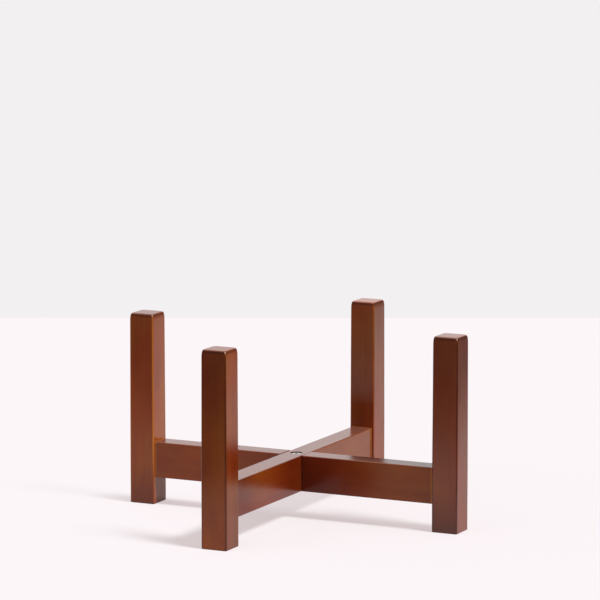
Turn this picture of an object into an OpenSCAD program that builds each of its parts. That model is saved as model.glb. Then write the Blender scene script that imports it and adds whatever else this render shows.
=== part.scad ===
// A low plant stand: four square legs joined by two rails that cross in a half lap.
// The pot stands on the rails, between the legs.
// Millimetres, +Z up. The origin is on the floor under the middle of the crossing,
// the lower rail runs along X and the upper rail along Y.

/* [Pot] */
// Widest pot that goes between the legs
pot_d = 300; // [150:1:400]
// Room between that pot and each leg
pot_gap = 0.25; // [0.25:0.25:10]

/* [Legs] */
// Height of the legs
leg_h = 190; // [120:1:400]
// Side of a leg's square section
leg_w = 26.5; // [23:0.5:45]
// Rounding of a leg's upright edges
leg_edge_r = 1.5; // [0.5:0.1:3]
// Rounding round a leg's top
leg_top_r = 2; // [0.5:0.1:4]
// Rounding round a leg's foot
leg_foot_r = 0.8; // [0.3:0.1:2]

/* [Rails] */
// Height of the rails' underside above the floor
rail_z = 27; // [10:0.5:50]
// Height of a rail
rail_h = 35.5; // [32:0.5:60]
// Thickness of a rail
rail_t = 22; // [18:0.5:25]
// Rounding of a rail's long edges
rail_edge_r = 1; // [0.3:0.1:2]

/* [Half lap] */
// Clearance on each side of a rail in the other rail's notch
lap_gap = 0.1; // [0.05:0.05:0.5]
// Extra width of the lower rail's notch, which shows as a seam on its -X side
lap_seam = 0.9; // [0:0.1:2]

/* [Dowels] */
// Diameter of a dowel
dowel_d = 8; // [6:0.5:9]
// Length of a dowel inside the rail
dowel_in_rail = 20; // [12:1:30]
// Length of a dowel inside the leg
dowel_in_leg = 15; // [10:0.5:18]
// Distance between the two dowels of a joint
dowel_pitch = 18; // [14:0.5:20]
// Clearance round a dowel in its hole
dowel_gap = 0.05; // [0.02:0.01:0.2]
// Room for glue past each end of a dowel
glue_room = 0.9; // [0.3:0.1:2]
// Chamfer at a dowel's ends
dowel_chamfer = 1; // [0.5:0.1:2]
// Number of flutes along a dowel
flutes = 12; // [6:1:16]
// Radius of a flute
flute_r = 0.45; // [0.2:0.05:0.6]

/* [Centre bolt] */
// Diameter of the bolt's thread
bolt_d = 5; // [4:0.5:6]
// Diameter of the bolt's head
head_d = 9.5; // [8:0.1:12]
// Height of the bolt's head
head_h = 3.7; // [3.4:0.1:5]
// How much of the head's height is its dome
head_dome = 0.6; // [0.4:0.1:2.5]
// How far the top of the head lies below the rail's top
head_sink = 0.1; // [0.1:0.1:2]
// Distance from the bolt's end to the rail's underside
bolt_end = 1.7; // [0.5:0.1:4]
// Chamfer at the bolt's end
bolt_chamfer = 0.6; // [0.2:0.1:1]
// Width across the cross recess
cross_w = 5.8; // [4:0.1:6.5]
// Width of one slot of the cross recess
slot_w = 1.7; // [1:0.1:2]
// Depth of the cross recess
cross_deep = 2.4; // [1.5:0.1:2.8]
// How far the cross recess is turned from the upper rail's line, in degrees
cross_turn = 26; // [0:1:89]

/* [Washer] */
// Diameter of the washer
washer_d = 10; // [8:0.5:14]
// Thickness of the washer
washer_t = 1; // [0.5:0.1:2]
// Clearance round the washer and the head in the counterbore
sink_gap = 1; // [0.3:0.1:2]
// Clearance round the bolt in the washer and the wood
bolt_gap = 0.25; // [0.1:0.05:0.5]

/* [Threaded insert] */
// Length of the insert with its flange
insert_l = 12; // [9:0.5:14]
// Wall of the insert's barrel, ridges included
insert_wall = 1.7; // [1.2:0.1:2.5]
// Height of the ridges on the barrel
ridge_h = 0.5; // [0.2:0.1:0.7]
// Number of ridges on the barrel
ridges = 5; // [3:1:6]
// How far the flange stands out past the barrel
flange_rim = 1.5; // [1:0.1:2.5]
// Thickness of the flange
flange_t = 1.2; // [0.8:0.1:2]
// Clearance round the bolt in the insert
thread_gap = 0.05; // [0.02:0.01:0.1]
// Clearance round the insert in the wood
insert_gap = 0.05; // [0.02:0.01:0.2]
// How far the hexagonal socket stands out past the bolt, on each side
socket_rim = 0.5; // [0.3:0.1:0.8]
// Depth of the hexagonal socket
socket_deep = 3; // [2:0.5:4]

/* [Hidden] */

$fn = 64;
// How far a cutting shape runs past what it cuts
over = 1;

// Half the distance between two opposite legs' inner faces
inner = pot_d / 2 + pot_gap;
// Distance from the middle of the stand to a leg's axis
leg_at = inner + leg_w / 2;
rail_top = rail_z + rail_h;
// Height at which the two rails meet
lap_z = rail_z + rail_h / 2;

hole_d = dowel_d + 2 * dowel_gap;
dowel_l = dowel_in_rail + dowel_in_leg;
dowel_low = lap_z - dowel_pitch / 2;
dowel_high = lap_z + dowel_pitch / 2;

sink_deep = head_sink + head_h + washer_t;
sink_d = max(washer_d, head_d) + 2 * sink_gap;
washer_z = rail_top - sink_deep;
head_z = washer_z + washer_t;
bolt_hole_d = bolt_d + 2 * bolt_gap;
bolt_end_z = rail_z + bolt_end;
head_curve = (head_dome * head_dome + head_d * head_d / 4) / (2 * head_dome);

barrel_d = bolt_d + 2 * insert_wall;
flange_d = barrel_d + 2 * flange_rim;
ridge_pitch = (insert_l - flange_t) / ridges;
socket_af = bolt_d + 2 * socket_rim;

wood = [0.42, 0.19, 0.12];
dowel_wood = [0.80, 0.64, 0.44];
steel = [0.76, 0.77, 0.78];
zinc = [0.70, 0.68, 0.60];

// Where the legs stand, a quarter turn apart, from the one at -X
SIDES = ["left", "front", "right", "back"];

// Puts its child at a leg, with the child's +X towards the middle of the stand
module at_leg(side) {
    quarter = search([side], SIDES)[0];
    rotate([0, 0, 90 * quarter])
        translate([-leg_at, 0, 0])
            children();
}

// A rectangle about the origin with round corners
module round_rect(w, h, r) {
    square([w - 2 * r, h], center = true);
    square([w, h - 2 * r], center = true);
    for (x = [-1, 1], y = [-1, 1])
        translate([x * (w / 2 - r), y * (h / 2 - r)])
            circle(r);
}

// A leg seen from the side, foot on the X axis, with its top and foot rounded
module leg_side() {
    half = leg_w / 2;
    translate([-half, leg_foot_r])
        square([leg_w, leg_h - leg_foot_r - leg_top_r]);
    translate([leg_foot_r - half, 0])
        square([leg_w - 2 * leg_foot_r, leg_foot_r]);
    translate([leg_top_r - half, leg_h - leg_top_r])
        square([leg_w - 2 * leg_top_r, leg_top_r]);
    for (x = [-1, 1]) {
        translate([x * (half - leg_foot_r), leg_foot_r])
            circle(leg_foot_r);
        translate([x * (half - leg_top_r), leg_h - leg_top_r])
            circle(leg_top_r);
    }
}

// A block that is rounded at its top and foot, seen along X and along Y
module rounded_ends() {
    intersection() {
        rotate([90, 0, 0])
            linear_extrude(leg_w + 2 * over, center = true)
                leg_side();
        rotate([90, 0, 90])
            linear_extrude(leg_w + 2 * over, center = true)
                leg_side();
    }
}

// The two dowel holes of a joint, from the joint's face towards +X
module dowel_holes(deep) {
    for (z = [dowel_low, dowel_high])
        translate([-over, 0, z])
            rotate([0, 90, 0])
                cylinder(d = hole_d, h = deep + glue_room + over);
}

// A leg on the origin, with its dowel holes in the side that faces +X
module leg() {
    color(wood)
        difference() {
            intersection() {
                linear_extrude(leg_h)
                    round_rect(leg_w, leg_w, leg_edge_r);
                rounded_ends();
            }
            translate([leg_w / 2, 0, 0])
                rotate([0, 0, 180])
                    dowel_holes(dowel_in_leg);
        }
}

// A rail along X with its dowel holes, before its notch is cut
module rail_blank() {
    difference() {
        translate([0, 0, lap_z])
            rotate([90, 0, 90])
                linear_extrude(2 * inner, center = true)
                    round_rect(rail_t, rail_h, rail_edge_r);
        for (side = [0, 180])
            rotate([0, 0, side])
                translate([-inner, 0, 0])
                    dowel_holes(dowel_in_rail);
    }
}

// The lower rail, notched from above, with the seat of the threaded insert below
module lower_rail() {
    notch_from = -rail_t / 2 - lap_gap - lap_seam;
    notch_to = rail_t / 2 + lap_gap;
    color(wood)
        difference() {
            rail_blank();
            translate([notch_from, -rail_t / 2 - over, lap_z])
                cube([notch_to - notch_from, rail_t + 2 * over, rail_h]);
            translate([0, 0, rail_z - over])
                cylinder(d = bolt_hole_d, h = rail_h);
            translate([0, 0, rail_z - over])
                cylinder(d = barrel_d + 2 * insert_gap, h = insert_l + insert_gap + over);
            translate([0, 0, rail_z - over])
                cylinder(d = flange_d + 2 * insert_gap, h = flange_t + over);
        }
}

// The upper rail, notched from below, with the counterbore for the bolt's head
module upper_rail() {
    notch = rail_t + 2 * lap_gap;
    color(wood)
        rotate([0, 0, 90])
            difference() {
                rail_blank();
                translate([-notch / 2, -rail_t / 2 - over, lap_z - rail_h])
                    cube([notch, rail_t + 2 * over, rail_h]);
                translate([0, 0, lap_z - over])
                    cylinder(d = bolt_hole_d, h = rail_h);
                translate([0, 0, washer_z])
                    cylinder(d = sink_d, h = sink_deep + over);
            }
}

// A dowel along X across a leg's inner face, at height z
module dowel(z) {
    color(dowel_wood)
        translate([leg_w / 2 - dowel_in_leg, 0, z])
            rotate([90, 0, 90])
                intersection() {
                    linear_extrude(dowel_l)
                        difference() {
                            circle(d = dowel_d);
                            for (i = [0:flutes - 1])
                                rotate(360 * i / flutes)
                                    translate([dowel_d / 2, 0])
                                        circle(flute_r);
                        }
                    rotate_extrude()
                        polygon([
                            [0, 0],
                            [dowel_d / 2 - dowel_chamfer, 0],
                            [dowel_d / 2, dowel_chamfer],
                            [dowel_d / 2, dowel_l - dowel_chamfer],
                            [dowel_d / 2 - dowel_chamfer, dowel_l],
                            [0, dowel_l]
                        ]);
                }
}

// The cross recess, its open end at the origin and its depth below
module cross_recess() {
    translate([0, 0, -cross_deep])
        intersection() {
            cylinder(d1 = slot_w, d2 = cross_w, h = cross_deep + over);
            for (turn = [0, 90])
                rotate([0, 0, turn])
                    translate([-cross_w, -slot_w / 2, 0])
                        cube([2 * cross_w, slot_w, cross_deep + over]);
        }
}

// The bolt: a domed head on the washer, and a shank down through both rails
module centre_bolt() {
    color(steel)
        difference() {
            union() {
                translate([0, 0, head_z])
                    intersection() {
                        cylinder(d = head_d, h = head_h);
                        translate([0, 0, head_h - head_curve])
                            sphere(head_curve);
                    }
                translate([0, 0, bolt_end_z + bolt_chamfer])
                    cylinder(d = bolt_d, h = head_z - bolt_end_z - bolt_chamfer);
                translate([0, 0, bolt_end_z])
                    cylinder(d1 = bolt_d - 2 * bolt_chamfer, d2 = bolt_d, h = bolt_chamfer);
            }
            translate([0, 0, head_z + head_h])
                rotate([0, 0, 90 + cross_turn])
                    cross_recess();
        }
}

// The washer between the bolt's head and the floor of the counterbore
module washer() {
    color(steel)
        translate([0, 0, washer_z])
            difference() {
                cylinder(d = washer_d, h = washer_t);
                translate([0, 0, -over])
                    cylinder(d = bolt_hole_d, h = washer_t + 2 * over);
            }
}

// The threaded insert, its flange flush with the lower rail's underside
module threaded_insert() {
    core = barrel_d / 2 - ridge_h;
    color(zinc)
        translate([0, 0, rail_z])
            difference() {
                union() {
                    cylinder(d = flange_d, h = flange_t);
                    cylinder(r = core, h = insert_l);
                    for (i = [0:ridges - 1])
                        translate([0, 0, flange_t + i * ridge_pitch])
                            cylinder(r1 = core + ridge_h, r2 = core, h = ridge_pitch);
                }
                translate([0, 0, -over])
                    cylinder(d = bolt_d + 2 * thread_gap, h = insert_l + 2 * over);
                translate([0, 0, -over])
                    cylinder(d = socket_af / cos(30), h = socket_deep + over, $fn = 6);
            }
}

at_leg("left") leg();  // leg_left
at_leg("front") leg();  // leg_front
at_leg("right") leg();  // leg_right
at_leg("back") leg();  // leg_back
lower_rail();
upper_rail();
at_leg("left") dowel(dowel_low);  // dowel_left_low
at_leg("left") dowel(dowel_high);  // dowel_left_high
at_leg("front") dowel(dowel_low);  // dowel_front_low
at_leg("front") dowel(dowel_high);  // dowel_front_high
at_leg("right") dowel(dowel_low);  // dowel_right_low
at_leg("right") dowel(dowel_high);  // dowel_right_high
at_leg("back") dowel(dowel_low);  // dowel_back_low
at_leg("back") dowel(dowel_high);  // dowel_back_high
centre_bolt();
washer();
threaded_insert();
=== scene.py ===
import math

import bmesh
import bpy
from bpy.props import FloatProperty, FloatVectorProperty, IntProperty, PointerProperty
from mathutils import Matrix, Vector


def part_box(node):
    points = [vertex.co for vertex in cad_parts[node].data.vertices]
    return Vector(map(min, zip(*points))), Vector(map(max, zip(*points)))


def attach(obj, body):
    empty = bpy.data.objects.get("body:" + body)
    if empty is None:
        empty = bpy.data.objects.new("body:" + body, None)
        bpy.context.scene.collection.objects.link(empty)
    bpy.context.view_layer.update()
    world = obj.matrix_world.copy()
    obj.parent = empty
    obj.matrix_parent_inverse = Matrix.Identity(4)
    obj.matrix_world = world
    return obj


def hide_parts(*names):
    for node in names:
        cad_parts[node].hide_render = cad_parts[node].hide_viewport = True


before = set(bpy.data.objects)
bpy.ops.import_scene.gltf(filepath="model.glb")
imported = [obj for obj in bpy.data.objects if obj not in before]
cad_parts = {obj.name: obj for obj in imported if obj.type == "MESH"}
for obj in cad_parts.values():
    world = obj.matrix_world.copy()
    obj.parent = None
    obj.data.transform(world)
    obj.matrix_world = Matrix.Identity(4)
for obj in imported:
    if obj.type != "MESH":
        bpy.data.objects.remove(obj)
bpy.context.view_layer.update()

bl_info = {
    "name": "Plant stand",
    "version": (1, 0, 0),
    "blender": (4, 5, 0),
    "location": "3D View > Sidebar > Plant stand",
    "description": "Builds and finishes a stained wooden plant stand on its packed frame",
    "category": "Object",
}

BODY = "root"
LEGS = ("leg_left", "leg_front", "leg_right", "leg_back")
RAILS = ("lower_rail", "upper_rail")
DOWELS = tuple(n for n in sorted(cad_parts) if n.startswith("dowel_"))
X_AXIS, Y_AXIS, Z_AXIS = Vector((1, 0, 0)), Vector((0, 1, 0)), Vector((0, 0, 1))
# A length too small to matter, for telling whether a point lies on a plane
TOUCH = 1e-5
# How far a finished piece's box may be from its node's
NEAR = 0.0002
# The small chamfer that takes the sharpness off a turned metal edge
TRIM = 0.00015


# ---------------------------------------------------------------- sizes and colours

def length_prop(name, description, default, low, high):
    return FloatProperty(
        name=name, description=description, default=default, min=low, max=high, unit="LENGTH")


def angle_prop(name, description, degrees, lowest=-180, highest=180):
    return FloatProperty(
        name=name, description=description, default=math.radians(degrees),
        min=math.radians(lowest), max=math.radians(highest), subtype="ANGLE")


def share_prop(name, description, default):
    return FloatProperty(
        name=name, description=description, default=default, min=0, max=1, subtype="FACTOR")


def colour_prop(name, description, default, high=1):
    return FloatVectorProperty(
        name=name, description=description, default=default, min=0, max=high, subtype="COLOR")


def each_prop(name, description, default, low, high):
    """A value for each of the legs, in the order of LEGS, or for the lower and the upper rail."""
    return FloatVectorProperty(
        name=name, description=description, default=default, size=len(default), min=low, max=high)


class StandSizes(bpy.types.PropertyGroup):
    """Sizes of the finish that the frame leaves open"""
    leg_edge: length_prop("Leg edges", "Rounding of a leg's upright edges", 0.0015, 0.0005, 0.004)
    leg_top: length_prop("Leg tops", "Rounding round the top of a leg", 0.0018, 0.0005, 0.004)
    top_corner: length_prop(
        "Top corners", "Rounding of the four corners of a leg's flat top", 0.0036, 0.001, 0.006)
    leg_foot: length_prop("Leg feet", "Rounding round the foot of a leg", 0.0008, 0.0002, 0.002)
    leg_taper: length_prop(
        "Leg taper", "How far each side of a leg draws in from the rails up", 0.0003, 0, 0.002)
    shoulder_height: length_prop(
        "Shoulder height", "Height of the sanded shoulder under a leg's top", 0.007, 0.005, 0.03)
    shoulder_depth: length_prop(
        "Shoulder depth", "How far the shoulder draws a leg's sides in", 0.0002, 0, 0.002)
    rail_edge: length_prop("Rail edges", "Rounding of a rail's long edges", 0.001, 0.0003, 0.003)
    lap_gap: length_prop(
        "Lap gap", "Clearance beside a rail in the other rail's notch", 0.0001, 0.00005, 0.0005)
    lap_seam: length_prop(
        "Lap seam", "Extra width of the lower rail's notch on its -X side", 0.0009, 0, 0.002)
    sink_width: length_prop(
        "Counterbore", "Diameter of the counterbore round the bolt's head", 0.012, 0.01, 0.02)
    hole_gap: length_prop(
        "Hole gap", "Clearance round a dowel or the insert in its hole", 0.00005, 0.00002, 0.0002)
    glue_room: length_prop(
        "Glue room", "Depth of a dowel's hole past the dowel's end", 0.0009, 0.0003, 0.002)
    bolt_hole: length_prop(
        "Bolt hole", "Diameter of the hole that the bolt goes through", 0.0055, 0.005, 0.007)
    bolt_shank: length_prop("Bolt shank", "Diameter of the bolt's shank", 0.005, 0.004, 0.006)
    bolt_head: length_prop("Head height", "Height of the bolt's head", 0.0037, 0.003, 0.005)
    head_dome: length_prop(
        "Head dome", "How much of the head's height is its dome", 0.0006, 0.0004, 0.003)
    bolt_chamfer: length_prop("Bolt chamfer", "Chamfer at the bolt's end", 0.0006, 0.0002, 0.001)
    cross_width: length_prop(
        "Recess width", "Width across the cross recess in the bolt's head", 0.0068, 0.004, 0.008)
    slot_width: length_prop("Slot width", "Width of one slot of the cross recess", 0.0021, 0.001, 0.003)
    cross_depth: length_prop("Recess depth", "Depth of the cross recess", 0.0024, 0.001, 0.003)
    cross_turn: angle_prop("Recess turn", "How far the cross recess is turned from the Y axis", 26, 0, 90)
    insert_barrel: length_prop("Insert barrel", "Diameter of the insert's barrel", 0.0084, 0.007, 0.01)
    insert_flange: length_prop("Insert flange", "Thickness of the insert's flange", 0.0012, 0.0008, 0.002)
    ridge_height: length_prop(
        "Ridge height", "Height of the ridges on the insert's barrel", 0.0005, 0.0002, 0.0008)
    ridges: IntProperty(
        name="Ridges", description="Number of ridges on the insert's barrel",
        default=5, min=3, max=8)
    socket_width: length_prop(
        "Socket width", "Width across the flats of the insert's hexagonal socket", 0.006, 0.005, 0.007)
    socket_depth: length_prop(
        "Socket depth", "Depth of the insert's hexagonal socket", 0.003, 0.002, 0.005)


class StandColours(bpy.types.PropertyGroup):
    """Colours and gloss of the finishes, and the light and shade painted onto them"""
    stain_dark: colour_prop(
        "Dark stain", "The stain where the wood takes most of it", (0.19, 0.0270, 0.0022))
    stain_light: colour_prop(
        "Light stain", "The stain where the wood takes least of it", (0.36, 0.0780, 0.0065))
    # Lighter edges: on the legs, sanded stain and a painted highlight along their upright edges; on the
    # rails, lighter ends
    lighter_edge: colour_prop(
        "Sanded edge", "The stain where sanding has thinned it along an edge", (0.62, 0.21, 0.03))
    # Painted shade: dark lines along the legs' edges and under their rims, a painted contact shadow round
    # their feet, and shade in the lap's corners and round the counterbore
    painted_shade: colour_prop(
        "Pooled stain", "The stain where it has gathered along an edge or in a corner",
        (0.045, 0.005, 0.001))
    # The legs' top corners are light with worn stain and a painted highlight
    bare: colour_prop(
        "Bare corner", "The wood at a leg's top corners, where the stain is worn off", (0.82, 0.50, 0.32))
    leg_tone: each_prop(
        "Leg tone", "How light the left, front, right and back legs are",
        (1.06, 0.86, 0.84, 0.66), 0.2, 2)
    # The side, top, side top, level and foot tones are painted light and shade: how lit each leg's faces,
    # their upper parts, its level top and its foot look
    side_tone: each_prop(
        "Side tone", "How light the faces along Y are beside those along X, on each leg",
        (1.28, 0.90, 1.0, 1.65), 0.2, 2)
    top_tone: each_prop(
        "Top tone", "How light the faces along X are at the top, on each leg",
        (0.82, 0.68, 0.68, 1.32), 0.2, 2)
    side_top_tone: each_prop(
        "Side top tone", "How light the faces along Y are at the top, on each leg",
        (0.82, 1.45, 0.62, 0.72), 0.2, 2)
    level_tone: each_prop(
        "Level tone", "How light the level top is, on each leg", (0.66, 0.85, 0.88, 1.25), 0.2, 2)
    foot_tone: each_prop(
        "Foot tone", "How light the faces along X are at the foot, on each leg",
        (0.65, 1.2, 0.46, 0.55), 0.2, 2)
    # Painted shade: each leg's faces along Y darker and redder just over a rail
    shade_over_rail: each_prop(
        "Stain over a rail", "How much more stain each leg's faces along Y hold just over a rail",
        (0.0, 0.17, 0.0, 0.0), 0, 1)
    leg_gloss: each_prop(
        "Leg gloss", "Index of refraction of the coat on each leg", (1.43, 1.40, 1.49, 1.50), 1.1, 2)
    # How far each leg's top corners are worn light and painted with a highlight
    corner_wear_and_highlight: each_prop(
        "Corner wear", "How far the stain is worn off each leg's top corners",
        (0.85, 0.85, 0.85, 0.0), 0, 1)
    # Light edges are sanded stain and a painted highlight, dark edges painted shade
    edge_tone: each_prop(
        "Edge tone", "Each leg's upright edges: sanded light over 0, pooled dark under 0",
        (0.75, -0.8, -0.7, 0.30), -1, 1)
    rail_gloss: each_prop(
        "Rail gloss", "Index of refraction of the coat on the lower and the upper rail",
        (1.38, 1.42), 1.1, 2)
    # A painted sheen on top of each rail, standing in for the coat's reflection
    rail_sheen: each_prop(
        "Rail bloom", "How milky the coat is on top of the lower and the upper rail", (0.12, 0.09), 0, 1)
    rail_shade: each_prop(
        "Rail shade", "How much darker the lower and the upper rail are at one leg", (0.12, 0.36), 0, 1)
    # The colour of that painted sheen
    sheeny: colour_prop(
        "Milky coat", "The bloom of the clear coat, which shows on level faces", (0.55, 0.46, 0.44))
    coat_roughness: share_prop("Coat roughness", "Roughness of the clear coat on the wood", 0.20)
    beech: colour_prop("Beech", "The bare wood of the dowels", (0.56, 0.35, 0.18))
    steel: colour_prop("Steel", "The plated steel of the bolt and its washer", (0.86, 0.86, 0.87))
    zinc: colour_prop("Zinc", "The zinc plating of the threaded insert", (0.60, 0.58, 0.50))


class StandStage(bpy.types.PropertyGroup):
    """The floor, the backdrop, the lights and the camera"""
    # The glow is pinker and the lit colour bluer than the floor looks, which paints a warm tint of
    # bounced light into the shadows
    floor: colour_prop("Floor", "Colour of the floor", (0.93, 0.965, 0.99))
    floor_flat: colour_prop("Floor glow colour", "Colour of the floor's own glow", (0.983, 0.843, 0.853))
    # Painted light: left of the stand and behind the lower rail the shadows are faded towards this plain
    # look, by the reach, fade and share below
    floor_plain: colour_prop(
        "Floor without shadow", "The look of the floor further off, where shadows end",
        (0.982, 0.922, 0.939))
    floor_glow: share_prop("Floor glow", "How much of its look the floor takes from its own glow", 0.55)
    shadow_reach: length_prop(
        "Shadow reach", "How far left of the stand's middle its shadows start to fade", 0.165, 0, 2)
    shadow_fade: length_prop("Shadow fade", "The stretch over which the shadows fade", 0.075, 0.01, 2)
    shadow_behind: share_prop(
        "Shadow behind", "How much fainter the shadows are behind the lower rail", 0.33)
    # A painted pool of light: round the stand the floor sends up more bounce light and shows brighter in
    # a gloss than further off
    bounce: colour_prop(
        "Bounce", "How much light the floor sends back up round the stand", (0.45, 0.425, 0.43))
    bounce_dim: colour_prop(
        "Bounce further off", "How much light it sends back past the lit pool", (0.10, 0.095, 0.095))
    dim: colour_prop(
        "Dim studio", "What a gloss shows of the floor and the studio past the pool", (0.18, 0.17, 0.17))
    pool_right: length_prop(
        "Pool right", "How far the lit pool runs to the right of the stand", 0.30, 0.1, 3)
    pool_slant: FloatProperty(
        name="Pool slant", description="How much further right the pool runs for each metre behind",
        default=0.15, min=-1, max=1)
    pool_front: length_prop("Pool front", "How far the lit pool runs in front of the stand", 0.40, 0.2, 3)
    pool_fade: length_prop("Pool fade", "How gently the lit pool ends", 0.09, 0.01, 3)
    behind: colour_prop(
        "Studio behind", "What a gloss shows of the studio behind the stand", (1.0, 0.98, 0.99))
    backdrop: colour_prop("Backdrop", "Colour of the backdrop", (0.896, 0.871, 0.879))
    fill_high: colour_prop("Fill above", "Soft light from straight above", (0.32, 0.32, 0.32), 2)
    softbox: colour_prop(
        "Softbox above", "What a gloss shows of the lamp straight above", (1.6, 1.6, 1.6), 3)
    fill_low: colour_prop("Fill round", "Soft light from the horizon", (0.15, 0.15, 0.15), 2)
    fill_left: colour_prop(
        "Fill from the left", "Soft low light from the left and the front", (1.15, 1.15, 1.15), 2)
    fill_left_turn: angle_prop("Left fill turn", "How far that light stands round from the +X axis", -140)
    key_power: FloatProperty(
        name="Key light", description="Strength of the key light", default=2.85, min=0, max=10)
    key_height: angle_prop("Key height", "Height of the key light over the horizon", 52, 0, 90)
    key_turn: angle_prop("Key turn", "How far the key light stands round from the +X axis", -8)
    key_size: angle_prop("Key size", "How wide the key light looks from the stand", 13, 0, 90)
    floor_behind: length_prop("Floor behind", "How far the floor runs on behind the stand", 1.225, 0.5, 5)
    floor_front: length_prop(
        "Floor in front", "How far the floor runs on in front of the stand", 3.0, 0.4, 5)
    floor_side: length_prop(
        "Floor beside", "How far the floor runs on to each side of the stand", 3.0, 0.5, 5)
    camera_place: FloatVectorProperty(
        name="Camera", description="Where the camera stands",
        default=(1.7354, -3.5531, 0.8264), subtype="TRANSLATION", unit="LENGTH")
    camera_turn: angle_prop("Camera turn", "How far the camera is turned from the +Y axis", 25.98)
    camera_tilt: angle_prop("Camera tilt", "How far the camera looks down", 8.8185)
    camera_lens: FloatProperty(
        name="Lens", description="Focal length of the camera in millimetres, on a 36 mm sensor",
        default=248.05, min=10, max=500)


# ---------------------------------------------------------------- modelling tools

def deselect():
    bpy.ops.object.select_all(action="DESELECT")


def choose(piece):
    """Selects one piece alone, and makes it the active one."""
    deselect()
    bpy.context.view_layer.objects.active = piece
    piece.select_set(True)


def settle():
    """Takes the active piece's place, turn and scale into its mesh."""
    bpy.ops.object.transform_apply(location=True, rotation=True, scale=True)


def name_new(name):
    """Names what was just added, and its data."""
    piece = bpy.context.object
    piece.name = piece.data.name = name
    return piece


def block(name, low, high):
    """A block between two corners, with its place and size in its mesh."""
    low, high = Vector(low), Vector(high)
    deselect()
    bpy.ops.mesh.primitive_cube_add(size=1, location=(low + high) / 2, scale=high - low)
    settle()
    return name_new(name)


def rod(name, radius, start, end, sides=48):
    """A round rod between two points, with its place in its mesh."""
    start, end = Vector(start), Vector(end)
    along = end - start
    deselect()
    bpy.ops.mesh.primitive_cylinder_add(
        vertices=sides, radius=radius, depth=along.length, location=(start + end) / 2,
        rotation=Z_AXIS.rotation_difference(along).to_euler())
    settle()
    return name_new(name)


def edit(piece):
    """Opens a piece in edit mode, set to pick points, with nothing selected."""
    choose(piece)
    bpy.ops.object.mode_set(mode="EDIT")
    bpy.ops.mesh.select_mode(type="VERT")
    bpy.ops.mesh.select_all(action="DESELECT")


def done():
    """Goes back to object mode."""
    bpy.ops.object.mode_set(mode="OBJECT")


def pick_edges(piece, wanted):
    """Selects, in edit mode, the edges whose two ends pass a test."""
    bpy.ops.mesh.select_mode(type="EDGE")
    bpy.ops.mesh.select_all(action="DESELECT")
    mesh = bmesh.from_edit_mesh(piece.data)
    for edge in mesh.edges:
        if wanted(edge.verts[0].co, edge.verts[1].co):
            edge.select = True
    mesh.select_flush_mode()
    bmesh.update_edit_mesh(piece.data)


def pick_points(piece, wanted):
    """Selects, in edit mode, the points that pass a test."""
    bpy.ops.mesh.select_mode(type="VERT")
    bpy.ops.mesh.select_all(action="DESELECT")
    mesh = bmesh.from_edit_mesh(piece.data)
    for point in mesh.verts:
        point.select = wanted(point.co)
    mesh.select_flush(True)
    bmesh.update_edit_mesh(piece.data)


def slice_at(co, normal):
    """Cuts the open piece's faces along a plane."""
    bpy.ops.mesh.select_all(action="SELECT")
    bpy.ops.mesh.bisect(plane_co=co, plane_no=normal)


def cut(piece, *cutters):
    """Takes cutters out of a piece, and deletes them."""
    for cutter in cutters:
        choose(piece)
        knife = piece.modifiers.new("cut", "BOOLEAN")
        knife.operation = "DIFFERENCE"
        knife.solver = "EXACT"
        knife.object = cutter
        bpy.ops.object.modifier_apply(modifier=knife.name)
        bpy.data.objects.remove(cutter)


def smooth(piece, angle=math.radians(32)):
    """Shades a piece smooth except over sharp edges, and keeps its flat faces flat."""
    choose(piece)
    bpy.ops.object.shade_smooth_by_angle(angle=angle)
    even = piece.modifiers.new("even", "WEIGHTED_NORMAL")
    even.keep_sharp = True
    even.weight = 100
    bpy.ops.object.modifier_apply(modifier=even.name)


def turned(name, outline, closed, sides=48):
    """A piece turned about the Z axis from an outline of (radius, height) points."""
    deselect()
    bpy.ops.mesh.primitive_plane_add(size=TOUCH)
    piece = name_new(name)
    edit(piece)
    bpy.ops.mesh.select_all(action="SELECT")
    bpy.ops.mesh.merge(type="CENTER")
    radius, height = outline[0]
    bpy.ops.transform.translate(value=(radius, 0, height))
    for after in outline[1:]:
        step = (after[0] - radius, 0, after[1] - height)
        bpy.ops.mesh.extrude_vertices_move(TRANSFORM_OT_translate={"value": step})
        radius, height = after
    if closed:
        first = Vector((outline[0][0], 0, outline[0][1]))
        last = Vector((radius, 0, height))
        pick_points(piece, lambda co: min((co - first).length, (co - last).length) < TOUCH / 10)
        bpy.ops.mesh.edge_face_add()
    bpy.ops.mesh.select_all(action="SELECT")
    bpy.ops.mesh.spin(steps=sides, angle=math.tau, center=(0, 0, 0), axis=(0, 0, 1))
    bpy.ops.mesh.select_all(action="SELECT")
    bpy.ops.mesh.remove_doubles(threshold=TOUCH / 10)
    bpy.ops.mesh.normals_make_consistent(inside=False)
    done()
    return piece


def box_of(piece):
    """A finished piece's lowest and highest corners."""
    if not piece.data.polygons:
        raise RuntimeError(f"{piece.name} has no faces")
    places = [point.co for point in piece.data.vertices]
    return [Vector([pick(place[i] for place in places) for i in range(3)]) for pick in (min, max)]


def turned_copy(piece, name, turn):
    """A copy of a piece with its own mesh, turned about the Z axis."""
    copy = piece.copy()
    copy.data = piece.data.copy()
    copy.name = copy.data.name = name
    bpy.context.collection.objects.link(copy)
    copy.rotation_euler.z = turn
    choose(copy)
    settle()
    return copy


def finish(piece, node, material):
    """Gives a finished piece its material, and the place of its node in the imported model."""
    for corner, wanted in zip(box_of(piece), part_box(node)):
        if (corner - wanted).length > NEAR:
            raise RuntimeError(f"{piece.name} doesn't fill the box of {node}")
    piece.data.materials.clear()
    piece.data.materials.append(material)
    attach(piece, BODY)
    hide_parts(node)


# ---------------------------------------------------------------- materials

# The span that most of a noise lies in, and the upper part of it
SPAN = (0.3, 0.7)
UPPER_SPAN = (0.35, 0.7)
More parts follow.
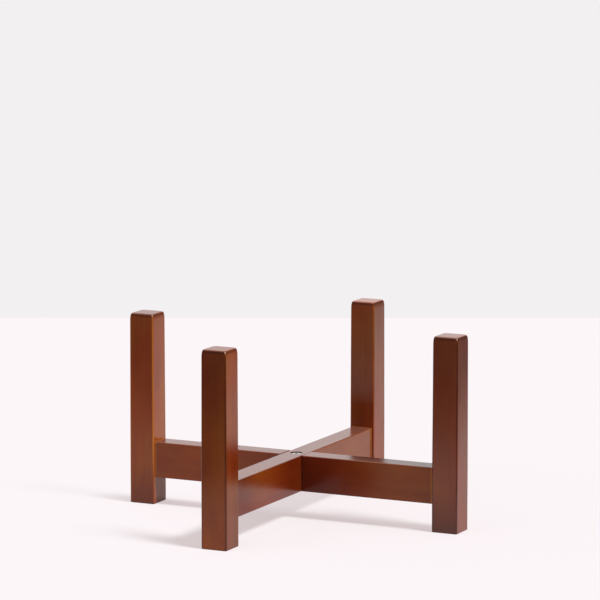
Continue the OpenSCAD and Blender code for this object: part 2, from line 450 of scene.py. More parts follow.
# Patterns in the stain: each one's width across the grain as a share of its length, its scale, its
# detail and its roughness
FIBRE = (0.03, 480, 4, 0.6)
STREAK = (0.06, 150, 2, 0.5)
BLOTCH = (0.45, 34, 3, 0.55)
CLOUD = (0.3, 11, 2, 0.5)
PORE = (0.16, 900, 1, 0.5)
WARMTH = (0.35, 26, 2, 0.5)
WAVE = (0.35, 60, 2, 0.5)
# How much of the stain's unevenness comes from each of four of them
BLOTCH_SHARE, CLOUD_SHARE, STREAK_SHARE, FIBRE_SHARE = 0.42, 0.30, 0.16, 0.12
# The span of the warmth's pattern that shows, and the green and blue that its two ends give
WARMTH_SPAN = (0.35, 0.65)
GREEN_AND_BLUE = (0.82, 1.22)
# Where a pore opens in its noise, how much of its colour shows, and that colour
PORE_OPENS = (0.76, 0.80)
PORE_SHARE = 0.6
PORE_COLOUR = (0.02, 0.004, 0.002)
# How far the grain leans off the wood's length
GRAIN_LEAN = (math.radians(0.7), math.radians(-0.5), 0)
# How far the coat's roughness falls and rises with the blotches
COAT_UNEVEN = (-0.02, 0.03)
# How high the coat's waves stand, how deep a pore is, and how high a fibre stands beside that
WAVE_HEIGHT = 0.00016
PORE_DEPTH = 0.000010
FIBRE_RELIEF = 0.4
# A stain made darker keeps a share of its red, and that share to this power of its green: mostly,
# along a rail, and on a leg just over a rail. For its blue the power is higher by the last number
REDDER, REDDER_ALONG, REDDER_OVER = 1.35, 1.8, 3.2
BLUE_FASTER = 0.25

# Bands on a leg in which its stain and its painted light and shade change, as distances in from its faces
EDGE_BAND = (0.0007, 0.0018)
CORNER_BAND = (0.0011, 0.0021)
# Others, as distances under its top
LEVEL_BAND = (0.0002, 0.0009)
RIM_BAND = (0.0003, 0.0010)
UNDER_RIM_BAND = (0.0020, 0.0042)
BRIGHT_CORNER_BAND = (0.0015, 0.0032)
# Others, as heights over the floor
SOLE_BAND = (0.0004, 0.0014)
FOOT_BAND = (0.004, 0.040)
LOW_BAND = (0.03, 0.06)
OVER_RAIL_BAND = (0.062, 0.076)
WELL_OVER_RAIL_BAND = (0.092, 0.110)
# The one round an edge in which a face's tone goes over to the next face's
TURN_BAND = (-0.001, 0.001)
# The part of its height in which a leg goes over to its upper tone
UPPER_PART = (0.25, 0.85)
# Patches along the edges, of wear and painted highlight and shade: their width as a share of their
# length, their scale, how uneven they make the edges, and how far the edges' mark drops low down
PATCH_WIDTH, PATCH_SCALE = 0.3, 40
EDGE_PATCHES = 0.35
LOW_EDGE = -0.7
# Two amounts of an edge's mark, and how far the edge takes sanded stain and a painted highlight at the
# one and the other; then the same for painted shade
EDGE_TO_LIGHT = (0.1, 0.9, 0, 0.8)
EDGE_TO_SHADE = (-0.9, -0.1, 0.85, 0)
# How dark the painted shade under a leg's rim and the painted contact shadow round its foot are
SHADE_SHARE = 0.6

# Bands on a rail: under its top, in from its ends, from the lap's corners and past the counterbore
BESIDE_BAND = (0.0001, 0.0006)
END_BAND = (0.0012, 0.0024)
LAP_BAND = (0.0005, 0.0013)
SINK_BAND = (0.0001, 0.0004)
SINK_DEPTH_BAND = (0.0001, 0.0002)
# How light its top is beside its sides, which paints shade on the top, how much lighter its ends are, and
# how dark the painted shade is in those corners and in the counterbore
RAIL_TOP_TONE = 0.62
END_LIGHTER = 0.4
CORNER_SHADE = 0.85
# Its shade past the lap on the dark side and on the other one, and the shares of the way to its end
# over which the first fades and the shade by a leg comes in
LAP_SHADE, OTHER_SHADE = 0.45, 0.08
LAP_SHADE_ENDS = (0.22, 0.75)
LEG_SHADE_STARTS = (0.6, 0.9)

# Bands of the painted shade in the bolt's head: past its recess, and under its dome; and how dark it is
PAST_RECESS = (0.0001, 0.0002)
RECESS_SHADE_BAND = (0.00003, 0.00012)
RECESS_SHADE_SHARE = 0.96
RECESS_SHADE_COLOUR = (0.02, 0.015, 0.012)


class Wiring:
    """Adds nodes to a node tree and joins them."""

    def __init__(self, tree):
        self.tree = tree
        tree.nodes.clear()

    def node(self, kind, inputs=None, **settings):
        made = self.tree.nodes.new(kind)
        for name, value in settings.items():
            setattr(made, name, value)
        for name, value in (inputs or {}).items():
            self.feed(made.inputs[name], value)
        return made

    def feed(self, socket, value):
        """Joins a socket to another one, or gives it a plain value. A colour gets its alpha."""
        if isinstance(value, bpy.types.NodeSocket):
            self.tree.links.new(value, socket)
        elif socket.type == "RGBA":
            socket.default_value = (*value, 1.0)
        else:
            socket.default_value = value

    def maths(self, operation, *values):
        made = self.node("ShaderNodeMath", dict(enumerate(values)), operation=operation)
        return made.outputs["Value"]

    def plus(self, a, b):
        return self.maths("ADD", a, b)

    def minus(self, a, b):
        return self.maths("SUBTRACT", a, b)

    def times(self, a, b):
        return self.maths("MULTIPLY", a, b)

    def highest(self, a, b):
        return self.maths("MAXIMUM", a, b)

    def vector(self, operation, *values):
        made = self.node("ShaderNodeVectorMath", dict(enumerate(values)), operation=operation)
        return made.outputs["Value" if operation in ("DOT_PRODUCT", "LENGTH") else "Vector"]

    def parts(self, vector):
        """A vector's X, Y and Z."""
        return self.node("ShaderNodeSeparateXYZ", {"Vector": vector}).outputs

    def fit(self, value, low, high, to_low=0.0, to_high=1.0):
        """A value's stretch from low to high, made to run from to_low to to_high and no further."""
        made = self.node("ShaderNodeMapRange", {
            "Value": value, "From Min": low, "From Max": high, "To Min": to_low, "To Max": to_high})
        return made.outputs["Result"]

    def fade(self, value, low, high, start=1.0):
        """A share that falls from start to nothing over a value's stretch from low to high."""
        return self.fit(value, low, high, start, 0.0)

    def noise(self, where, scale, detail=2.0, roughness=0.5):
        made = self.node("ShaderNodeTexNoise", {
            "Vector": where, "Scale": scale, "Detail": detail, "Roughness": roughness})
        return made.outputs["Fac"]

    def mix(self, share, a, b, blend="MIX"):
        made = self.node("ShaderNodeMix", data_type="RGBA", blend_type=blend)
        # The sockets that a mix of colours uses: factor, A and B
        for number, value in ((0, share), (6, a), (7, b)):
            self.feed(made.inputs[number], value)
        return made.outputs[2]

    def rays(self):
        """Whether a point is seen by the camera, and whether it is seen in a gloss or through glass."""
        rays = self.node("ShaderNodeLightPath").outputs
        return rays["Is Camera Ray"], self.highest(rays["Is Glossy Ray"], rays["Is Transmission Ray"])

    def surface(self, shader):
        """Makes a shader the look of the material's surface."""
        self.node("ShaderNodeOutputMaterial", {"Surface": shader.outputs[0]})

    def tinted(self, colour, red, green, blue):
        """A colour with each of its channels multiplied."""
        tint = self.node("ShaderNodeCombineXYZ", {"X": red, "Y": green, "Z": blue})
        return self.mix(1.0, colour, tint.outputs["Vector"], "MULTIPLY")


def new_material(name):
    """A material, its wiring, and the place on a piece that its patterns read."""
    material = bpy.data.materials.new(name)
    material.use_nodes = True
    w = Wiring(material.node_tree)
    return material, w, w.node("ShaderNodeTexCoord").outputs["Object"]


def stained_wood(name, turn, colours, gloss, own_look):
    """Red-brown stained hardwood under a clear coat.

    turn brings the grain onto the Z axis. gloss is the coat's index of refraction. own_look gets
    the wiring, the place and the colour so far, and gives back the colour with what only that
    piece shows."""
    material, w, place = new_material(name)
    turn = [a + b for a, b in zip(turn, GRAIN_LEAN)]
    grain = w.node("ShaderNodeMapping", {"Vector": place, "Rotation": turn}).outputs["Vector"]

    def pattern(width, scale, detail, roughness):
        return w.noise(w.vector("MULTIPLY", grain, (1, 1, width)), scale, detail, roughness)

    fibre, blotch = pattern(*FIBRE), pattern(*BLOTCH)
    pore = w.fit(pattern(*PORE), *PORE_OPENS)
    tone = w.times(w.fit(blotch, *SPAN), BLOTCH_SHARE)
    for other, share in ((pattern(*CLOUD), CLOUD_SHARE), (pattern(*STREAK), STREAK_SHARE),
                         (fibre, FIBRE_SHARE)):
        tone = w.plus(tone, w.times(w.fit(other, *SPAN), share))
    colour = w.mix(tone, colours.stain_dark, colours.stain_light)
    warmth = w.fit(pattern(*WARMTH), *WARMTH_SPAN, *GREEN_AND_BLUE)
    colour = w.tinted(colour, 1.0, warmth, warmth)
    colour = w.mix(w.times(pore, PORE_SHARE), colour, PORE_COLOUR)
    colour = own_look(w, place, colour)

    rough = w.fit(blotch, *SPAN, *(colours.coat_roughness + more for more in COAT_UNEVEN))
    soft = w.node("ShaderNodeBump", {
        "Strength": 1.0, "Distance": WAVE_HEIGHT, "Height": pattern(*WAVE)})
    height = w.minus(w.times(fibre, FIBRE_RELIEF), pore)
    fine = w.node("ShaderNodeBump", {
        "Strength": 1.0, "Distance": PORE_DEPTH, "Height": height, "Normal": soft.outputs["Normal"]})
    shader = w.node("ShaderNodeBsdfPrincipled", {
        "Base Color": colour, "Roughness": rough, "IOR": gloss, "Normal": fine.outputs["Normal"]})
    w.surface(shader)
    return material


def shaded(w, colour, share, redder=REDDER):
    """A stain made lighter or darker by a share, and redder as it darkens."""
    green, blue = (w.maths("POWER", share, redder + faster) for faster in (0, BLUE_FASTER))
    return w.tinted(colour, share, green, blue)


def leg_look(number, colours):
    """The stain on one leg, with painted light and shade: its own tone, its faces' tones, its edges, its
    rim, its foot and its worn top corners with a painted highlight.
    """
    low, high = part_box(LEGS[number])
    middle, half = (low + high) / 2, (high.x - low.x) / 2

    def look(w, place, colour):
        at = w.parts(w.vector("ABSOLUTE", w.vector("SUBTRACT", place, (middle.x, middle.y, 0))))
        in_x, in_y = w.minus(half, at["X"]), w.minus(half, at["Y"])
        in_far = w.highest(in_x, in_y)
        under = w.minus(high.z, at["Z"])
        side = w.fit(w.minus(in_y, in_x), *TURN_BAND)

        # The painted light and shade of the faces that run along X and of those along Y, and then of the
        # level top
        up = w.fit(at["Z"], *(part * high.z for part in UPPER_PART))
        front_tone = w.fit(up, 0, 1, 1.0, colours.top_tone[number])
        side_tone = w.fit(up, 0, 1, colours.side_tone[number],
                          colours.side_tone[number] * colours.side_top_tone[number])
        front_tone = w.times(front_tone, w.fit(at["Z"], *FOOT_BAND, colours.foot_tone[number], 1.0))
        tone = w.plus(w.times(side, side_tone), w.times(w.minus(1.0, side), front_tone))
        tone = w.times(tone, colours.leg_tone[number])
        level = w.fade(under, *LEVEL_BAND)
        tone = w.plus(w.times(w.minus(1.0, level), tone), w.times(level, colours.level_tone[number]))
        colour = shaded(w, colour, tone)
        # Painted shade just over a rail, darker and redder
        shade_over_rail = w.times(w.fit(at["Z"], *OVER_RAIL_BAND), w.fade(at["Z"], *WELL_OVER_RAIL_BAND))
        darkened = w.times(w.times(shade_over_rail, side), colours.shade_over_rail[number])
        colour = shaded(w, colour, w.minus(1.0, darkened), REDDER_OVER)

        # The upright edges, light in patches with sanded stain and a painted highlight, dark in others
        # with painted shade, and dark low down
        edge = w.fade(in_far, *EDGE_BAND)
        patch = w.noise(w.vector("MULTIPLY", place, (1, 1, PATCH_WIDTH)), PATCH_SCALE)
        wear_and_light = w.plus(w.fit(patch, *SPAN, -EDGE_PATCHES, EDGE_PATCHES), colours.edge_tone[number])
        wear_and_light = w.plus(wear_and_light, w.fit(at["Z"], *LOW_BAND, LOW_EDGE, 0.0))
        light = w.times(edge, w.fit(wear_and_light, *EDGE_TO_LIGHT))
        dark = w.times(edge, w.fit(wear_and_light, *EDGE_TO_SHADE))
        colour = w.mix(light, colour, colours.lighter_edge)
        colour = w.mix(dark, colour, colours.painted_shade)

        # Painted shade under the top's rim and a painted contact shadow round the foot; the top's corners
        # are worn light with a painted highlight
        rim = w.times(w.fit(under, *RIM_BAND), w.fade(under, *UNDER_RIM_BAND, SHADE_SHARE))
        foot = w.fade(at["Z"], *SOLE_BAND, SHADE_SHARE)
        colour = w.mix(w.highest(rim, foot), colour, colours.painted_shade)
        corner = w.times(w.fade(in_far, *CORNER_BAND),
                         w.fade(under, *BRIGHT_CORNER_BAND, colours.corner_wear_and_highlight[number]))
        return w.mix(corner, colour, colours.bare)

    return look


def rail_look(number, dark_way, sizes, colours):
    """The stain on a rail, with painted light and shade: painted shade and a painted sheen on top,
    painted shade in the corners of the lap and in the counterbore, darker with painted shade from the lap
    along dark_way and again where that way meets a leg, and lighter at its ends."""
    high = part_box(RAILS[number])[1]
    half, reach = min(high.x, high.y), max(high.x, high.y)
    sink = sizes.sink_width / 2

    def look(w, place, colour):
        at = w.parts(w.vector("ABSOLUTE", place))
        out = w.highest(at["X"], at["Y"])
        under = w.minus(high.z, at["Z"])
        # Painted shade and a painted sheen on its top
        beside = w.fit(under, *BESIDE_BAND)
        colour = shaded(w, colour, w.fit(beside, 0, 1, RAIL_TOP_TONE, 1.0))
        sheen = w.fade(beside, 0, 1, colours.rail_sheen[number])
        colour = w.mix(sheen, colour, colours.sheeny)

        # Painted shade from the lap along dark_way, by a leg, and a little on the other side
        along = w.vector("DOT_PRODUCT", place, tuple(dark_way))
        ends, starts = ([part * reach for part in way] for way in (LAP_SHADE_ENDS, LEG_SHADE_STARTS))
        shade_along = w.times(w.fit(along, 0, half), w.fade(along, *ends, LAP_SHADE))
        shade_along = w.plus(shade_along, w.fit(along, *starts, 0.0, colours.rail_shade[number]))
        shade_along = w.plus(shade_along, w.fit(along, 0, -half, 0.0, OTHER_SHADE))
        colour = shaded(w, colour, w.minus(1.0, w.times(shade_along, beside)), REDDER_ALONG)

        colour = w.mix(w.fade(w.minus(reach, out), *END_BAND, END_LIGHTER), colour, colours.lighter_edge)
        # Painted shade in the lap's corners and in the counterbore
        off_x = w.maths("ABSOLUTE", w.minus(at["X"], half))
        off_y = w.maths("ABSOLUTE", w.minus(at["Y"], half))
        corner = w.fade(w.highest(off_x, off_y), *LAP_BAND, CORNER_SHADE)
        sunk = w.times(w.fade(out, *(sink + past for past in SINK_BAND)),
                       w.fit(under, *SINK_DEPTH_BAND, 0.0, CORNER_SHADE))
        return w.mix(w.highest(corner, sunk), colour, colours.painted_shade)

    return look


# The beech's patches and flecks: their patterns and colours, and how far the flecks show, how deep
# they are and how rough the wood is without and with them
BEECH_PATCH = 60
BEECH_FLECK = (900, 3, 0.6)
PATCH_COLOUR = (0.64, 0.43, 0.25)
FLECK_COLOUR = (0.33, 0.18, 0.08)
FLECK_SHARE = 0.35
FLECK_DEPTH = 0.00003
BEECH_ROUGHNESS = (0.62, 0.75)


def bare_beech(colours):
    """The dowels' unstained wood, with its small rays and pores."""
    material, w, place = new_material("bare_beech")
    fleck = w.fit(w.noise(place, *BEECH_FLECK), *UPPER_SPAN)
    colour = w.mix(w.fit(w.noise(place, BEECH_PATCH), *SPAN), colours.beech, PATCH_COLOUR)
    colour = w.mix(w.times(fleck, FLECK_SHARE), colour, FLECK_COLOUR)
    bump = w.node("ShaderNodeBump", {"Distance": FLECK_DEPTH, "Height": fleck})
    shader = w.node("ShaderNodeBsdfPrincipled", {
        "Base Color": colour, "Roughness": w.fit(fleck, 0, 1, *BEECH_ROUGHNESS),
        "Normal": bump.outputs["Normal"]})
    w.surface(shader)
    return material


def dome_curve(sizes, head):
    """The radius of the arc that domes the bolt's head, for a head of that radius."""
    return (sizes.head_dome ** 2 + head ** 2) / (2 * sizes.head_dome)


def recess_shade(sizes):
    """Painted shade in the cross recess of the bolt's head."""
    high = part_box("centre_bolt")[1]
    reach = sizes.cross_width / 2

    def look(w, place, colour):
        out = w.vector("LENGTH", w.vector("MULTIPLY", place, (1, 1, 0)))
        under = w.minus(high.z, w.parts(place)["Z"])
        sag = w.maths("DIVIDE", w.times(out, out), 2 * dome_curve(sizes, high.x))
        inside = w.times(w.fade(out, reach, reach + PAST_RECESS[0]),
                         w.fade(under, *(sizes.cross_depth + past for past in PAST_RECESS)))
        recess_dark = w.times(inside, w.fit(w.minus(under, sag), *RECESS_SHADE_BAND, 0.0, RECESS_SHADE_SHARE))
        return w.mix(recess_dark, colour, RECESS_SHADE_COLOUR)

    return look


# The clouds on a plated metal: their pattern, how dark they are, and how they change its
# roughness; and its scratches: their width as a share of their length, their scale and their depth
PLATING_CLOUD = (700, 4, 0.6)
CLOUD_TONE = 0.8
CLOUD_ROUGHNESS = (0.7, 1.5)
SCRATCH_WIDTH, SCRATCH_SCALE = 0.1, 5000
SCRATCH_DEPTH = 0.000004


def plated_metal(name, colour, roughness, own_look=None):
    """Plated metal with fine handling marks. own_look changes its colour, as it does for wood."""
    material, w, place = new_material(name)
    cloud = w.noise(place, *PLATING_CLOUD)
    scratch = w.noise(w.vector("MULTIPLY", place, (1, SCRATCH_WIDTH, 1)), SCRATCH_SCALE)
    darker = tuple(CLOUD_TONE * channel for channel in colour)
    tint = w.mix(w.fit(cloud, *UPPER_SPAN), colour, darker)
    if own_look:
        tint = own_look(w, place, tint)
    rough = w.fit(cloud, *SPAN, *(roughness * change for change in CLOUD_ROUGHNESS))
    bump = w.node("ShaderNodeBump", {"Distance": SCRATCH_DEPTH, "Height": scratch})
    shader = w.node("ShaderNodeBsdfPrincipled", {
        "Base Color": tint, "Metallic": 1.0, "Roughness": rough, "Normal": bump.outputs["Normal"]})
    w.surface(shader)
    return material


# ---------------------------------------------------------------- operators

def dowel_hole(dowel, sizes):
    """A cutter for the hole that a dowel sits in, along whichever way the dowel lies."""
    low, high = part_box(dowel)
    size = high - low
    along = X_AXIS if size.x > size.y else Y_AXIS
    middle = (low + high) / 2
    reach = along * (max(size.x, size.y) / 2 + sizes.glue_room)
    return rod("hole", size.z / 2 + sizes.hole_gap, middle - reach, middle + reach)


def dowels_in(node):
    """The dowels whose box reaches into a node's box."""
    low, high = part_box(node)
    boxes = {dowel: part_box(dowel) for dowel in DOWELS}
    return [dowel for dowel, (start, end) in boxes.items()
            if all(start[i] < high[i] and end[i] > low[i] for i in range(3))]


class STAND_OT_legs(bpy.types.Operator):
    """Models one leg, eased as by sanding, and copies it round the stand"""
    bl_idname = "plant_stand.legs"
    bl_label = "Legs"

    def execute(self, context):
        sizes = context.scene.stand_sizes
        colours = context.scene.stand_colours
        low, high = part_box(LEGS[0])
        middle = (low + high) / 2
        half = (high.x - low.x) / 2

        leg = block("leg", low, high)
        edit(leg)
        pick_edges(leg, lambda a, b: abs(a.z - b.z) > TOUCH)
        bpy.ops.mesh.bevel(offset=sizes.leg_edge, segments=6, affect="EDGES")
        pick_edges(leg, lambda a, b: max(a.z, b.z) < TOUCH)
        bpy.ops.mesh.bevel(offset=sizes.leg_foot, segments=3, affect="EDGES")
        rings = self.rings(sizes, high.z)
        for ring in rings[:-1]:
            slice_at((0, 0, ring[0]), Z_AXIS)
        for height, draw, corner in rings:
            self.shape_ring(leg, middle, half, height, 1 - draw / half, sizes.leg_edge, corner)
        done()
        cut(leg, *[dowel_hole(dowel, sizes) for dowel in dowels_in(LEGS[0])])
        smooth(leg)

        for quarter, node in enumerate(LEGS):
            piece = turned_copy(leg, node + "_wood", quarter * math.pi / 2)
            wood = stained_wood("stained_" + node, (0, 0, 0), colours, colours.leg_gloss[quarter],
                                leg_look(quarter, colours))
            finish(piece, node, wood)
        bpy.data.objects.remove(leg)
        return {"FINISHED"}

    def rings(self, sizes, top):
        """Rings up a leg: each one's height, how far it draws the sides in, and its corners' radius."""
        rings = [(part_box("upper_rail")[1].z, 0.0, sizes.leg_edge)]
        # The shoulder takes its corners half of the way to those of the flat top
        steps = 4
        for step in range(steps + 1):
            share = step / steps
            rings.append((top - sizes.shoulder_height + share * (sizes.shoulder_height - sizes.leg_top),
                          sizes.leg_taper + share ** 2 * sizes.shoulder_depth,
                          sizes.leg_edge + share ** 2 * (sizes.top_corner - sizes.leg_edge) / 2))
        # The top's rounding is a quarter of a circle
        draw, corner = rings[-1][1:]
        steps = 6
        for step in range(1, steps + 1):
            angle = math.pi / 2 * step / steps
            rings.append((top - sizes.leg_top * (1 - math.sin(angle)),
                          draw + sizes.leg_top * (1 - math.cos(angle)),
                          corner + (sizes.top_corner - corner) * step / steps))
        return rings

    def shape_ring(self, leg, middle, half, height, share, edge, corner):
        """Draws a ring of the open leg in, and rounds its corners from one radius to another."""
        pick_points(leg, lambda co: abs(co.z - height) < TOUCH)
        bpy.ops.transform.resize(value=(share, share, 1), center_override=(middle.x, middle.y, height))
        half, edge = half * share, edge * share
        for side_x in (-1, 1):
            for side_y in (-1, 1):
                sharp = Vector((middle.x + side_x * half, middle.y + side_y * half, height))
                reach = edge + TOUCH
                pick_points(leg, lambda co: abs(co.z - height) < TOUCH
                            and max(abs(co.x - sharp.x), abs(co.y - sharp.y)) < reach)
                bpy.ops.transform.resize(
                    value=(corner / edge, corner / edge, 1), center_override=sharp)


class STAND_OT_rails(bpy.types.Operator):
    """Models the two rails, notched into each other and drilled for what holds them"""
    bl_idname = "plant_stand.rails"
    bl_label = "Rails"

    def execute(self, context):
        sizes = context.scene.stand_sizes
        low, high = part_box("lower_rail")
        lap = (low.z + high.z) / 2
        half = (high.y - low.y) / 2
        beside = half + sizes.lap_gap
        past = sizes.sink_width

        lower = self.bar("lower_rail", X_AXIS, sizes)
        notch = block("notch", (-beside - sizes.lap_seam, low.y - past, lap),
                      (beside, high.y + past, high.z + past))
        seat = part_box("threaded_insert")[1]
        flange_top = low.z + sizes.insert_flange
        cut(lower, notch,
            rod("hole", sizes.bolt_hole / 2, (0, 0, low.z - past), (0, 0, lap + past)),
            rod("seat", sizes.insert_barrel / 2 + sizes.hole_gap,
                (0, 0, low.z - past), (0, 0, seat.z + sizes.hole_gap)),
            rod("flange", seat.x + sizes.hole_gap, (0, 0, low.z - past), (0, 0, flange_top)))
        self.dress(lower, 0, (0, -math.pi / 2, 0), X_AXIS, context.scene)

        upper = self.bar("upper_rail", Y_AXIS, sizes)
        notch = block("notch", (low.y - past, -beside, low.z - past), (high.y + past, beside, lap))
        washer_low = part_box("washer")[0]
        cut(upper, notch,
            rod("hole", sizes.bolt_hole / 2, (0, 0, lap - past), (0, 0, high.z + past)),
            rod("sink", sizes.sink_width / 2, (0, 0, washer_low.z), (0, 0, high.z + past)))
        self.dress(upper, 1, (math.pi / 2, 0, 0), -Y_AXIS, context.scene)
        return {"FINISHED"}

    def bar(self, node, along, sizes):
        """A rail before its notch is cut, with eased long edges and its dowel holes."""
        piece = block(node + "_wood", *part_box(node))
        edit(piece)
        pick_edges(piece, lambda a, b: abs((a - b).dot(along)) > TOUCH)
        bpy.ops.mesh.bevel(offset=sizes.rail_edge, segments=4, affect="EDGES")
        done()
        cut(piece, *[dowel_hole(dowel, sizes) for dowel in dowels_in(node)])
        return piece

    def dress(self, rail, number, turn, dark_way, scene):
        """Smooths a rail and gives it its own stained wood, darker along dark_way."""
        node, colours = RAILS[number], scene.stand_colours
        smooth(rail)
        wood = stained_wood("stained_" + node, turn, colours, colours.rail_gloss[number],
                            rail_look(number, dark_way, scene.stand_sizes, colours))
        finish(rail, node, wood)


class STAND_OT_dowels(bpy.types.Operator):
    """Gives the dowels, whose shape the frame holds, their bare wood"""
    bl_idname = "plant_stand.dowels"
    bl_label = "Dowels"

    def execute(self, context):
        wood = bare_beech(context.scene.stand_colours)
        for node in DOWELS:
            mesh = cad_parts[node].data
            mesh.materials.clear()
            mesh.materials.append(wood)
        return {"FINISHED"}


class STAND_OT_centre_bolt(bpy.types.Operator):
    """Turns the bolt, and presses the cross recess into its head"""
    bl_idname = "plant_stand.centre_bolt"
    bl_label = "Centre bolt"

    def execute(self, context):
        sizes = context.scene.stand_sizes
        low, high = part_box("centre_bolt")
        head, shank = high.x, sizes.bolt_shank / 2
        head_low = high.z - sizes.bolt_head
        rim = high.z - sizes.head_dome
        outline = [(0, low.z), (shank - sizes.bolt_chamfer, low.z),
                   (shank, low.z + sizes.bolt_chamfer), (shank, head_low),
                   (head - TRIM, head_low), (head, head_low + TRIM)]
        # The dome is an arc from the rim to the middle of the top
        curve = dome_curve(sizes, head)
        steps = 9
        for step in range(steps + 1):
            across = head * math.cos(math.pi / 2 * step / steps)
            rise = math.sqrt(curve ** 2 - across ** 2) - (curve - sizes.head_dome)
            outline.append((across if step < steps else 0, rim + rise))
        bolt = turned("centre_bolt_steel", outline, closed=False)
        for quarter in (0, 1):
            cut(bolt, self.slot(sizes, high.z, quarter))
        smooth(bolt)
        steel = plated_metal("bright_steel", context.scene.stand_colours.steel, roughness=0.22,
                             own_look=recess_shade(sizes))
        finish(bolt, "centre_bolt", steel)
        return {"FINISHED"}

    def slot(self, sizes, top, quarter):
        """A cutter for one slot of the cross recess, which narrows to its foot."""
        half, wide = sizes.cross_width / 2, sizes.slot_width / 2
        piece = block("slot", (-half, -wide, top - sizes.cross_depth), (half, wide, top + TRIM))
        edit(piece)
        pick_points(piece, lambda co: co.z < top)
        bpy.ops.transform.resize(value=(wide / half, 1, 1), center_override=(0, 0, 0))
        bpy.ops.mesh.select_all(action="SELECT")
        turn = sizes.cross_turn + quarter * math.pi / 2
        bpy.ops.transform.rotate(value=-turn, orient_axis="Z", center_override=(0, 0, 0))
        done()
        return piece


class STAND_OT_washer(bpy.types.Operator):
    """Turns the washer under the bolt's head"""
    bl_idname = "plant_stand.washer"
    bl_label = "Washer"

    def execute(self, context):
        sizes = context.scene.stand_sizes
        low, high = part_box("washer")
        hole = sizes.bolt_hole / 2
        ring = turned("washer_steel", [
            (hole, low.z), (high.x - TRIM, low.z), (high.x, low.z + TRIM),
            (high.x, high.z - TRIM), (high.x - TRIM, high.z), (hole, high.z)], closed=True)
        smooth(ring)
        steel = plated_metal("washer_steel", context.scene.stand_colours.steel, roughness=0.3)
        finish(ring, "washer", steel)
        return {"FINISHED"}


class STAND_OT_threaded_insert(bpy.types.Operator):
    """Turns the threaded insert with its flange and its ridges, and cuts its hexagonal socket"""
    bl_idname = "plant_stand.threaded_insert"
    bl_label = "Threaded insert"

    def execute(self, context):
        sizes = context.scene.stand_sizes
        low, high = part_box("threaded_insert")
        bore = sizes.bolt_shank / 2 + sizes.hole_gap
        barrel, flange = sizes.insert_barrel / 2, low.z + sizes.insert_flange
        core = barrel - sizes.ridge_height
        outline = [(bore, low.z), (high.x - TRIM, low.z), (high.x, low.z + TRIM), (high.x, flange)]
        pitch = (high.z - flange) / sizes.ridges
        for ridge in range(sizes.ridges):
            foot = flange + ridge * pitch
            outline += [(barrel, foot), (core, foot + pitch)]
        outline += [(bore, high.z)]
        insert = turned("threaded_insert_zinc", outline, closed=True)
        across = sizes.socket_width / math.sqrt(3)
        cut(insert, rod("socket", across, (0, 0, low.z - TRIM),
                        (0, 0, low.z + sizes.socket_depth), sides=6))
        smooth(insert)
        zinc = plated_metal("zinc_plating", context.scene.stand_colours.zinc, roughness=0.35)
        finish(insert, "threaded_insert", zinc)
        return {"FINISHED"}


# How far the studio's parts reach: the cosine of the angle off their middle at which each one is
# gone, and the one at which it is whole
ABOVE = (0.45, 0.85)
BEHIND = (0.7, 0.93)
BESIDE = (0.35, 0.9)
# How much sooner the painted light fades the shadows for each metre in front of the X axis or behind it
SHADOW_SLANT = 0.75
# How much of a shadow the painted light takes away where it has faded, and where on Y the painted light
# behind the rail starts
SHADOW_LOSS = 0.85
BEHIND_RAIL = (-0.01, 0.04)
# The width of the camera's sensor, in millimetres
SENSOR = 36


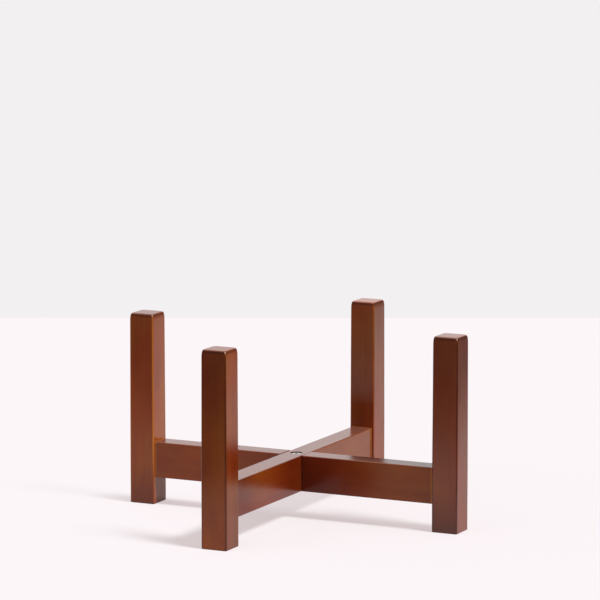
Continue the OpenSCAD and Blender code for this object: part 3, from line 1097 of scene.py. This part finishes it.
class STAND_OT_stage(bpy.types.Operator):
    """Lays the floor, hangs the lights and sets the camera"""
    bl_idname = "plant_stand.stage"
    bl_label = "Stage"

    def execute(self, context):
        stage = context.scene.stand_stage
        self.floor(stage)
        self.world(context.scene, stage)
        self.key(stage)
        self.camera(context.scene, stage)
        context.scene.view_settings.view_transform = "Standard"
        return {"FINISHED"}

    def floor(self, stage):
        """The floor's back edge stands square to the way that the camera looks."""
        deselect()
        bpy.ops.mesh.primitive_plane_add(size=1)
        floor = name_new("floor")
        floor.scale = (2 * stage.floor_side, stage.floor_behind + stage.floor_front, 1)
        floor.rotation_euler.z = stage.camera_turn
        settle()
        middle = (stage.floor_behind - stage.floor_front) / 2
        floor.location = (-math.sin(stage.camera_turn) * middle, math.cos(stage.camera_turn) * middle, 0)
        settle()
        floor.data.materials.append(self.pale_floor(stage))

    def pale_floor(self, stage):
        """A pale floor with a painted pool of light round the stand in its bounce and its reflection, and
        painted light that fades its shadows.
        """
        material, w, place = new_material("pale_floor")
        seen, mirrored = w.rays()
        at = w.parts(place)
        # A painted pool of light: the floor's bounce and its look in a gloss are brighter round the stand
        across = w.minus(at["X"], w.times(at["Y"], stage.pool_slant))
        pool = w.times(w.fade(across, stage.pool_right, stage.pool_right + stage.pool_fade),
                       w.fit(at["Y"], -stage.pool_front - stage.pool_fade, -stage.pool_front))
        bounce = w.mix(pool, stage.bounce_dim, stage.bounce)
        shine = w.mix(pool, stage.dim, stage.floor)
        albedo = w.mix(seen, w.mix(mirrored, bounce, shine), stage.floor)
        lit = w.node("ShaderNodeBsdfDiffuse", {"Color": albedo})
        shine = w.mix(pool, stage.dim, stage.floor_flat)
        glow = w.node("ShaderNodeEmission", {"Color": w.mix(seen, shine, stage.floor_flat)})
        share = w.times(w.plus(seen, mirrored), stage.floor_glow)
        look = w.node("ShaderNodeMixShader", {0: share, 1: lit.outputs[0], 2: glow.outputs[0]})
        # The shadows fall towards -X, and painted light fades them the further they reach
        out = w.minus(w.times(w.maths("ABSOLUTE", at["Y"]), SHADOW_SLANT), at["X"])
        far = w.fit(out, stage.shadow_reach, stage.shadow_reach + stage.shadow_fade, 0.0, SHADOW_LOSS)
        # Painted light makes the shadows fainter behind the lower rail
        behind = w.fit(at["Y"], *BEHIND_RAIL, 0.0, stage.shadow_behind)
        fainter = w.times(seen, w.highest(far, behind))
        plain = w.node("ShaderNodeEmission", {"Color": stage.floor_plain})
        look = w.node("ShaderNodeMixShader", {0: fainter, 1: look.outputs[0], 2: plain.outputs[0]})
        w.surface(look)
        return material

    def world(self, scene, stage):
        """Soft light from above, weaker at the horizon, behind a plain pale backdrop."""
        scene.world = bpy.data.worlds.new("studio")
        scene.world.use_nodes = True
        w = Wiring(scene.world.node_tree)
        seen, mirrored = w.rays()
        way = w.node("ShaderNodeTexCoord").outputs["Generated"]
        above = w.fit(w.vector("DOT_PRODUCT", way, tuple(Z_AXIS)), *ABOVE)
        back = (-math.sin(stage.camera_turn), math.cos(stage.camera_turn), 0)
        behind = w.fit(w.vector("DOT_PRODUCT", way, back), *BEHIND)
        left = (math.cos(stage.fill_left_turn), math.sin(stage.fill_left_turn), 0)
        beside = w.fit(w.vector("DOT_PRODUCT", way, left), *BESIDE)
        low = w.mix(beside, stage.fill_low, stage.fill_left)
        fill = w.mix(above, low, stage.fill_high)
        around = w.mix(behind, stage.dim, stage.behind)
        light = w.mix(mirrored, fill, w.mix(above, around, stage.softbox))
        light = w.mix(seen, light, stage.backdrop)
        sky = w.node("ShaderNodeBackground", {"Color": light})
        w.node("ShaderNodeOutputWorld", {"Surface": sky.outputs["Background"]})

    def key(self, stage):
        """The key light, from the right of the lower rail."""
        bpy.ops.object.light_add(type="SUN")
        key = name_new("key")
        key.data.energy = stage.key_power
        key.data.angle = stage.key_size
        key.rotation_euler = (0, math.pi / 2 - stage.key_height, stage.key_turn)

    def camera(self, scene, stage):
        bpy.ops.object.camera_add(
            location=stage.camera_place,
            rotation=(math.pi / 2 - stage.camera_tilt, 0, stage.camera_turn))
        camera = name_new("camera")
        camera.data.lens = stage.camera_lens
        camera.data.sensor_width = SENSOR
        scene.camera = camera


class STAND_PT_panel(bpy.types.Panel):
    """Builds the plant stand, piece by piece"""
    bl_idname = "STAND_PT_panel"
    bl_label = "Plant stand"
    bl_space_type = "VIEW_3D"
    bl_region_type = "UI"
    bl_category = "Plant stand"

    def draw(self, context):
        for operator in OPERATORS:
            self.layout.operator(operator.bl_idname)
        for group in (context.scene.stand_sizes, context.scene.stand_colours, context.scene.stand_stage):
            box = self.layout.box()
            for name in group.__annotations__:
                box.prop(group, name)


GROUPS = {"stand_sizes": StandSizes, "stand_colours": StandColours, "stand_stage": StandStage}
OPERATORS = (STAND_OT_legs, STAND_OT_rails, STAND_OT_dowels, STAND_OT_centre_bolt,
             STAND_OT_washer, STAND_OT_threaded_insert, STAND_OT_stage)


def register():
    for name, group in GROUPS.items():
        bpy.utils.register_class(group)
        setattr(bpy.types.Scene, name, PointerProperty(type=group))
    for operator in OPERATORS:
        bpy.utils.register_class(operator)
    bpy.utils.register_class(STAND_PT_panel)


def unregister():
    bpy.utils.unregister_class(STAND_PT_panel)
    for operator in reversed(OPERATORS):
        bpy.utils.unregister_class(operator)
    for name, group in GROUPS.items():
        delattr(bpy.types.Scene, name)
        bpy.utils.unregister_class(group)


def main():
    register()
    bpy.ops.plant_stand.legs()
    bpy.ops.plant_stand.rails()
    bpy.ops.plant_stand.dowels()
    bpy.ops.plant_stand.centre_bolt()
    bpy.ops.plant_stand.washer()
    bpy.ops.plant_stand.threaded_insert()
    bpy.ops.plant_stand.stage()


if __name__ == "__main__":
    main()
